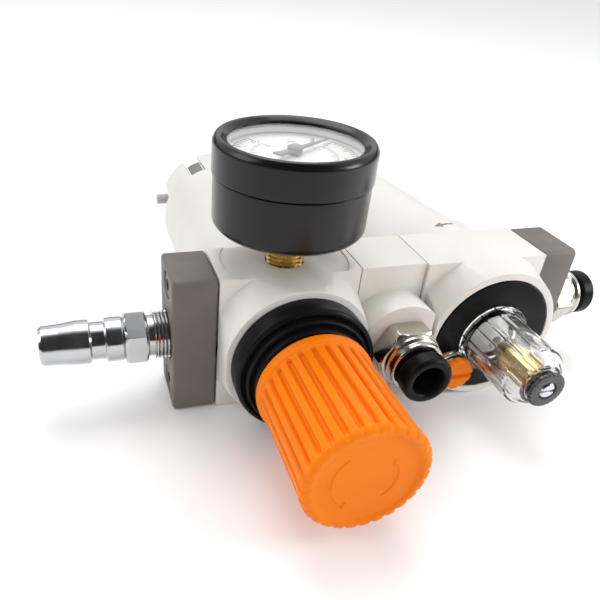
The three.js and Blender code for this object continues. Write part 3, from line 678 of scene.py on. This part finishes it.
def bars(name, places, material, body="housing"):
    """One mesh of small flat boxes: each is (radius, length, width, angle) on the dial."""
    r, length, width, angle = (np.array(v, float)[:, None] for v in zip(*places))
    corners = np.array([(-1, -1), (1, -1), (1, 1), (-1, 1)], float) / 2
    along = r + length * corners[None, :, 0]
    across = width * corners[None, :, 1]
    x = along * np.cos(angle) - across * np.sin(angle) + GAUGE_AT[0]
    y = along * np.sin(angle) + across * np.cos(angle) + GAUGE_AT[1]
    low, high = np.full_like(x, dial_high - 0.02), np.full_like(x, dial_high + INK_RISE)
    points = np.concatenate([np.stack([x, y, low], -1), np.stack([x, y, high], -1)], 1).reshape(-1, 3)
    one = np.array([(3, 2, 1, 0), (4, 5, 6, 7), (0, 1, 5, 4), (1, 2, 6, 5), (2, 3, 7, 6), (3, 0, 4, 7)])
    faces = (np.arange(len(places))[:, None, None] * 8 + one[None]).reshape(-1, 4)
    return piece(name, points, faces, material, body, slot="gauge_black")


OUTER_STEPS, INNER_STEPS = 50, 30


def scale_marks(steps, short, long):
    """(radius, length, width, angle) of each division: short and long are the first three of them, and
    every fifth division is long."""
    return [(*(short if i % 5 else long), ZERO - SWEEP * i / steps) for i in range(steps + 1)]


bars("dial_divisions", scale_marks(OUTER_STEPS, (14.6, 1.2, 0.22), (14.2, 2.0, 0.42)), INK)
bars("dial_inner_divisions", scale_marks(INNER_STEPS, (9.9, 0.8, 0.16), (9.6, 1.3, 0.28)), PRINT)


def arc_line(name, radius, width, material):
    """A thin ring segment along the scale, with a square section."""
    angle = np.linspace(ZERO, ZERO - SWEEP, 96)
    section = [(-width / 2, dial_high - 0.02), (width / 2, dial_high - 0.02), (width / 2, dial_high + INK_RISE),
               (-width / 2, dial_high + INK_RISE)]
    rings = [np.stack([(radius + d) * np.cos(angle) + GAUGE_AT[0], (radius + d) * np.sin(angle) + GAUGE_AT[1],
                       np.full_like(angle, z)], -1) for d, z in section]
    points = np.stack(rings, 1).reshape(-1, 3)
    faces = grid_faces(len(angle), 4, False)
    ends = np.array([(0, 1, 2, 3), tuple(len(points) - 4 + k for k in (3, 2, 1, 0))])
    return piece(name, points, np.vstack([faces, ends]), material, "housing", slot="gauge_black")


arc_line("dial_scale_line", 15.35, 0.18, INK)
arc_line("dial_inner_line", 10.45, 0.14, PRINT)


def printed(name, words, place, size, turn, material):
    """Words as a thin raised mesh on the dial, centred on place and turned about the gauge's axis."""
    curve = bpy.data.curves.new(name, "FONT")
    curve.body = words
    curve.size = size * MM
    curve.align_x, curve.align_y = "CENTER", "CENTER"
    curve.extrude = INK_RISE * MM / 2
    curve.resolution_u = 4
    holder = bpy.data.objects.new(name, curve)
    bpy.context.scene.collection.objects.link(holder)
    bpy.context.view_layer.update()
    mesh = bpy.data.meshes.new_from_object(holder)
    bpy.data.objects.remove(holder)
    height = (dial_high + INK_RISE / 2) * MM
    mesh.transform(Matrix.Translation((place[0] * MM, place[1] * MM, height)) @ Matrix.Rotation(turn, 4, "Z"))
    work = bmesh.new()
    work.from_mesh(mesh)
    bmesh.ops.remove_doubles(work, verts=work.verts, dist=1e-7)
    work.to_mesh(mesh)
    work.free()
    mesh.materials.clear()
    mesh.materials.append(material)
    obj = bpy.data.objects.new(name, mesh)
    bpy.context.scene.collection.objects.link(obj)
    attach(obj, "housing")
    return obj


DIAL_UP = ZERO - SWEEP / 2
UPRIGHT = DIAL_UP - math.pi / 2


def on_dial(radius, angle):
    """A point of the dial from its distance from the spindle and its angle."""
    return np.array(GAUGE_AT[:2]) + radius * np.array((math.cos(angle), math.sin(angle)))


for prefix, top, step_value, radius, size, ink in (("dial_number_", 10, 2, 12.3, 2.5, INK),
                                                   ("dial_inner_number_", 150, 50, 7.9, 1.5, PRINT)):
    for value in range(0, top + 1, step_value):
        spot = on_dial(radius, ZERO - SWEEP * value / top)
        printed(f"{prefix}{value}", str(value), spot, size, UPRIGHT, ink)
for words, radius, size in (("bar", -6.6, 2.1), ("psi", -9.6, 1.6)):
    printed("dial_unit_" + words, words, on_dial(radius, DIAL_UP), size, UPRIGHT, INK)
eased("gauge_pointer", POINTER, width=0.06, segments=2)
print("gauge made")

# %% [markdown]
# ## Plug nipple
# A hardened, plated steel nipple takes a quick coupling. It is turned from hexagon bar: nose, locking
# groove, collar, hexagon and a taper thread, in one outline whose widest stretch is held to six flats.

# %% nipple
NOSE_X, ROOT_X = span("inlet_nipple", "x")
nipple_outline = np.vstack([
    rounded([(3.2, -45), (3.2, NOSE_X), (4.7, NOSE_X), (5.15, NOSE_X + 0.8), (5.3, -58.8), (5.8, -54.6), (5.8, -51.3),
             (4.95, -50.9), (4.95, -47.5), (5.8, -47.2), (5.85, -46.9), (5.85, -43.1), (5.4, -42.7), (6.3, -42.6),
             (7.5, -41.9), (7.5, -37.4), (6.3, -36.7), (5.5, -36.5), (5.5, -35.0)], 0.16, closed=False),
    thread(6.4, -34.9, ROOT_X, 0.9, 0.5), [(4.2, ROOT_X), (4.2, -44)]])
piece("nipple", *turned("x", (0, 0, AXIS_Z), nipple_outline, 180,
                        flats(6, 13.0, -42.65, -36.65, math.pi / 6)), STEEL_X, "housing", ["inlet_nipple"],
      "steel")

# %% [markdown]
# ## Push-in fittings
# A nickel-plated body screws into the block; its black collar is pushed in to let the tube go. Both
# fittings are one function with another axis and another face.


# %% fittings
def fitting(name, axis, centre, node, collar_node, collar_body, material):
    """The nickel body and its release collar, with stations counted from the face it is screwed into."""
    face, out = (BOSS_Y, -1) if axis == "y" else (span("outlet_end_plate", "x")[1], 1)
    s = lambda d: face + out * d
    body_outline = rounded([
        (2.6, s(-8.5)), (6.2, s(-8.5)), (6.2, s(0.15)), (8.3, s(0.15)), (9.15, s(0.75)), (9.15, s(5.3)), (8.1, s(6.1)),
        (7.6, s(6.15)), (7.6, s(7.1)), (7.1, s(7.4)), (6.8, s(7.8)), (7.0, s(8.3)), (7.35, s(8.6)), (7.35, s(9.5)),
        (7.0, s(10)), (6.0, s(10)), (6.0, s(3)), (4.3, s(2)), (4.3, s(-3)), (2.6, s(-3.5))], 0.2)
    hexed = flats(6, 16.0, s(0.12), s(6.12))
    piece(name + "_body", *turned(axis, centre, body_outline, 180, hexed), material, "housing", [node], "nickel")
    collar_outline = rounded([
        (4.1, s(6)), (5.6, s(6)), (5.6, s(11.2)), (6.2, s(11.2)), (6.7, s(11.8)), (6.7, s(15.0)), (6.0, s(15.9)),
        (4.7, s(15.9)), (4.1, s(15.2))], 0.45)
    piece(name + "_collar", *turned(axis, centre, collar_outline, 144), BONNET, collar_body, [collar_node],
          "bonnet_black")


fitting("takeoff_port", "y", (TAKEOFF_X, 0, AXIS_Z), "takeoff_fitting", "takeoff_release_collar",
        "takeoff_collar", NICKEL_Y)
fitting("outlet_port", "x", (0, 0, AXIS_Z), "outlet_fitting", "outlet_release_collar", "outlet_collar", NICKEL_X)
print("fittings made")

# %% [markdown]
# ## Lubricator head
# A black disc covers the head. A clear dome stands on it: oil drips inside, and the screw in its tip
# sets how fast. The dome is one thick shell; its flange has a lobe, here a second clear piece that overlaps
# it, which the orange fill plug clamps.

# %% cover and dome
LUBE_AT = (LUBE_X, 0, AXIS_Z)
PLUG_AT = (middle("fill_plug")[0], 0, middle("fill_plug")[2])
eased("lubricator_cover", BONNET, width=0.25)
DOME_BORE_R = 7.1
dome_outline = rounded([
    (8.4, -10.5), (8.4, -18.4), (10.2, -18.4), (10.2, -19.7), (9.7, -20.2), (9.0, -20.4), (8.8, -21.2),
    (8.6, -37.0), (5.3, -41.1), (4.9, -41.5), (3.5, -41.5), (3.5, -40.7), (4.6, -40.4), (4.6, -38.8),
    (DOME_BORE_R, -35.8), (DOME_BORE_R, -10.5)], 0.4)


def inner_ribs(radius, station, angle):
    """Twelve low ribs along the inside of the clear wall."""
    rib = smooth((0.5 + 0.5 * np.cos(12 * angle) - 0.7) / 0.3)
    return np.where(np.abs(radius - DOME_BORE_R) < 0.05, radius - 0.3 * rib, radius), station


piece("dome", *turned("y", LUBE_AT, dome_outline, 240, inner_ribs), CLEAR, "housing", ["sight_dome"],
      "clear_plastic")
lobe_outline = rounded([(2.9, -20.2), (4.8, -20.2), (5.2, -19.8), (5.2, -18.4), (2.9, -18.4)], 0.2)
piece("dome_lobe", *turned("y", PLUG_AT, lobe_outline, 72), CLEAR, "housing", slot="clear_plastic")
tip_low, tip_high = span("dome_tip_ring", "y")


def knurl(radius, station, angle):
    """Twenty-four shallow notches round the outside."""
    notch = smooth((0.5 + 0.5 * np.cos(24 * angle) - 0.55) / 0.35)
    return np.where(radius > 4.6, radius - 0.28 * notch, radius), station


tip_outline = rounded([(2.6, tip_low), (4.8, tip_low), (5.1, tip_low + 0.3), (5.1, tip_high), (2.6, tip_high)], 0.15)
piece("tip_ring", *turned("y", LUBE_AT, tip_outline, 240, knurl), SMOKE, "housing", ["dome_tip_ring"],
      "smoke_plastic")

# %% needle, seal, screw and funnel
needle_outline = rounded([(1.9, -41.1), (3.2, -41.1), (3.2, -38.8), (4.2, -38.4), (4.2, -28.5), (2.9, -27.9),
                          (2.9, -24.5), (1.9, -24.5)], 0.2)


def fluted(radius, station, angle):
    """Twelve flutes along the wide part of the sleeve."""
    flute = smooth((0.5 + 0.5 * np.cos(12 * angle) - 0.45) / 0.4)
    return np.where(radius > 3.6, radius - 0.45 * flute, radius), station


piece("needle", *turned("y", LUBE_AT, needle_outline, 144, fluted), BRASS_Y, "housing", ["needle_sleeve"], "brass")
seal_angle = np.linspace(0, TAU, 24, endpoint=False)
seal_outline = np.stack([3.85 + 0.45 * np.cos(seal_angle), -39.7 + 0.48 * np.sin(seal_angle)], -1)
piece("needle_ring", *turned("y", LUBE_AT, seal_outline, 96), RUBBER, "housing", ["needle_seal"], "rubber")
eased("oil_screw", STEEL_Y, width=0.12, segments=2)
funnel_outline = rounded([(1.3, -11), (6.6, -11), (6.6, -17.3), (5.8, -18.2), (2.6, -20.6), (2.2, -21), (1.3, -21)],
                         0.35)
piece("funnel", *turned("y", LUBE_AT, funnel_outline, 96), GUARD, "housing", ["drip_funnel"], "guard_white")


# %% [markdown]
# ### Fill plug
# A round plug with a coin slot and a scalloped edge for the fingers.

# %% fill plug
def scallop(radius, station, angle):
    """Ten shallow finger hollows, and a coin slot across the end."""
    hollow = smooth((0.5 + 0.5 * np.cos(10 * angle) - 0.5) / 0.5)
    side = np.where(radius > 3.9, radius - 0.3 * hollow, radius)
    slot = smooth((0.7 - np.abs(radius * np.sin(angle))) / 0.2) * (station < -23.1)
    return side, station + 0.8 * slot


plug_outline = rounded([(0, -23.6), (4.2, -23.6), (4.8, -23.0), (4.8, -21.1), (2.5, -21.1), (2.5, -9), (0, -9)],
                       0.3, False)
plug_rows = np.vstack([dense(plug_outline[:2], 0.2)[:-1], plug_outline[1:]])
piece("plug", *turned("y", PLUG_AT, plug_rows, 160, scallop), ORANGE, "fill_plug", ["fill_plug"], "knob_orange")
print("lubricator head made")

# %% [markdown]
# ## Bowls and guards
# Each bowl is clear and sits inside a white guard. The filter's guard is a round tube, cut open at its
# far end for a ribbed latch and for the drain. A grid skin makes the cuts: its cells inside a cut are
# left out, and Solidify gives the rest its wall.

# %% clear bowls
bowl_outline = rounded([(15.2, 9.3), (16.9, 9.3), (16.9, 76), (12.6, 83), (6.1, 83), (6.1, 81), (12, 81),
                        (15.2, 75.4)], 1.5)
piece("filter_bowl_clear", *turned("y", FILTER_AT, bowl_outline, 128), CLEAR, "filter_bowl", ["filter_bowl"],
      "clear_plastic")
oil_outline = rounded([(13.4, 8), (15.2, 8), (15.2, 20), (11.8, 76), (8, 80), (0, 80)], 1.5, False)
oil_inner = rounded([(0, 78.4), (7.2, 78.4), (10.2, 75.4), (13.4, 20), (13.4, 8)], 1.5, False)
piece("oil_bowl_clear", *turned("y", LUBE_AT, np.vstack([oil_outline, oil_inner])[:-1], 128), CLEAR,
      "lubricator_bowl", ["lubricator_bowl"], "clear_plastic")

# %% filter guard
GUARD_START, GUARD_END = span("filter_bowl_guard", "y")
GUARD_R, WALL = 19.6, 2.0


def cut_tube(name, rows, angles, keep, wall, material, body, replaces):
    """A tube skin of (radius, station) rows and given angles, without the cells where keep is False, with
    Solidify growing its wall inwards and Bevel easing every edge."""
    radius, station = np.array(rows).T[:, :, None]
    angles = np.asarray(angles)
    points = np.stack([radius * np.cos(angles) + FILTER_X, station + 0 * angles,
                       radius * np.sin(angles) + AXIS_Z], -1)
    faces = grid_faces(len(rows), len(angles), False).reshape(len(rows) - 1, len(angles), 4)
    across = np.array([(a + b) / 2 for a, b in zip(angles, np.append(angles[1:], angles[0] + TAU))])
    along = (station[1:, 0] + station[:-1, 0]) / 2
    kept = faces[keep(along[:, None], across[None, :] % TAU)]
    mesh = bpy.data.meshes.new(name)
    used, index = np.unique(kept, return_inverse=True)
    mesh.from_pydata(points.reshape(-1, 3)[used] * MM, [], index.reshape(-1, 4).tolist())
    work = bmesh.new()
    work.from_mesh(mesh)
    first = work.faces[:][0]
    first.normal_update()
    outward = first.calc_center_median() - Vector((FILTER_X, 0, AXIS_Z)) * MM
    outward.y = 0
    if first.normal.dot(outward) < 0:
        bmesh.ops.reverse_faces(work, faces=work.faces)
    work.to_mesh(mesh)
    work.free()
    mesh.shade_smooth()
    tube = bpy.data.objects.new(name, mesh)
    bpy.context.scene.collection.objects.link(tube)
    mesh.materials.append(material)
    solid = tube.modifiers.new("wall", "SOLIDIFY")
    solid.thickness = wall * MM
    solid.offset = -1
    bevel = tube.modifiers.new("eased edges", "BEVEL")
    bevel.width, bevel.segments = 0.3 * MM, 2
    bevel.limit_method = "ANGLE"
    bevel.angle_limit = math.radians(40)
    bevel.harden_normals = True
    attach(tube, body)
    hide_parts(*replaces)
    return tube


LATCH_SPAN = (math.radians(106.3), math.radians(123.8))
DRAIN_SPAN = (math.radians(156.9), math.radians(203.4))
LATCH_START, DRAIN_START = 71.7, 75.0


def guard_keep(station, angle):
    """True where the guard has material: not in the latch's slot and not in the drain's cut."""
    latch = (angle > LATCH_SPAN[0]) & (angle < LATCH_SPAN[1]) & (station > LATCH_START)
    drain = (angle > DRAIN_SPAN[0]) & (angle < DRAIN_SPAN[1]) & (station > DRAIN_START)
    return ~(latch | drain)


guard_angles = np.unique(np.concatenate([np.arange(160) * TAU / 160, LATCH_SPAN, DRAIN_SPAN]))
guard_rows = [(GUARD_R, GUARD_START), (GUARD_R, 30), (GUARD_R, 60), (GUARD_R, LATCH_START), (GUARD_R, DRAIN_START),
              (GUARD_R - 0.1, 77.6), (GUARD_R - 0.35, 80), (GUARD_R - 0.85, 85), (GUARD_R - 1.4, GUARD_END)]
cut_tube("filter_guard", guard_rows, guard_angles, guard_keep, WALL, GUARD, "filter_bowl",
         ["filter_bowl_guard"])

# %% lubricator guard
neck = span("lubricator_bowl_guard", "y")
lube_guard_outline = rounded([
    (16, neck[0]), (19, neck[0]), (18.8, neck[0] + 2), (17.9, 28), (14.6, 78), (12.6, neck[1]), (6, neck[1]),
    (6, neck[1] - 1.8), (11.4, neck[1] - 1.8), (12.8, 77.6), (16, 27.6)], 1.0)
piece("lubricator_guard", *turned("y", LUBE_AT, lube_guard_outline, 160), GUARD, "lubricator_bowl",
      ["lubricator_bowl_guard"], "guard_white")

# %% [markdown]
# ### Latch and drain
# The latch is a small spring tongue with cross ribs for the thumb, and the drain is a twist valve whose
# outlet points sideways through the guard's cut.


# %% latch
def strip_ends(rows, columns):
    """The two end caps of a strip whose rows go out over columns points and come back under them."""
    wide = 2 * columns
    caps = [np.array([(r * wide + k, r * wide + k + 1, (r + 1) * wide - 2 - k, (r + 1) * wide - 1 - k)
                      for k in range(columns - 1)]) for r in (0, rows - 1)]
    return [caps[0][:, ::-1], caps[1]]


def latch():
    """A curved tongue in the guard's slot: angle across, station along, and a ripple of ribs on top."""
    start, first_rib, end = 72.1, 73, 84
    top_r, under_r, rib_rise, rib_pitch = 17.6, 17.1, 0.35, 1.9
    rows, columns = 96, 24
    angle = np.linspace(LATCH_SPAN[0] + 0.03, LATCH_SPAN[1] - 0.03, columns)
    station = np.linspace(start, end, rows)[:, None]
    edge = np.minimum(smooth((station - start) / 0.5), smooth((end - station) / 0.5))
    ripple = 0.5 + 0.5 * np.cos((station - first_rib) * TAU / rib_pitch)
    ribs = rib_rise * ripple * (station > first_rib)
    top = top_r + (0.9 + ribs) * edge - (station - start) * 0.03
    skins = [np.stack([radius * np.cos(angle) + FILTER_X, station + 0 * angle,
                       radius * np.sin(angle) + AXIS_Z], -1)
             for radius in (top + 0 * angle, np.full((rows, columns), under_r))]
    strip = np.concatenate([skins[0], skins[1][:, ::-1]], 1)
    faces = [grid_faces(rows, 2 * columns, False), *strip_ends(rows, columns)]
    return strip.reshape(-1, 3), np.vstack(faces)


piece("latch_tongue", *latch(), LATCH, "filter_bowl", ["guard_latch"], "latch_grey")
eased("drain_valve", DRAIN, width=0.25, segments=2)


# %% flow arrow
def flow_arrow():
    """A thin printed arrow that lies on the round neck: height = the neck circle's height at that x."""
    neck_r, tip_x, middle_y = 19.8, LUBE_X - 4.6, 14.0
    length, head, head_half, shaft_half = 6.2, 2.4, 1.5, 0.38
    rows = 64
    x = np.linspace(0, length, rows)
    half = np.where(x < head, head_half * x / head, shaft_half)
    across = np.array([-1, -0.5, 0, 0.5, 1])
    px = tip_x + x[:, None] + 0 * across
    py = middle_y + half[:, None] * across
    pz = AXIS_Z + np.sqrt(neck_r ** 2 - (px - LUBE_X) ** 2)
    top = np.stack([px, py, pz + 0.035], -1)
    low = np.stack([px, py, pz - 0.06], -1)
    strip = np.concatenate([top, low[:, ::-1]], 1)
    faces = [grid_faces(rows, 2 * len(across), False), *strip_ends(rows, len(across))]
    return strip.reshape(-1, 3), np.vstack(faces)


piece("flow_arrow", *flow_arrow(), PRINT, "housing", slot="gauge_black")
print("bowls, guards and print made")
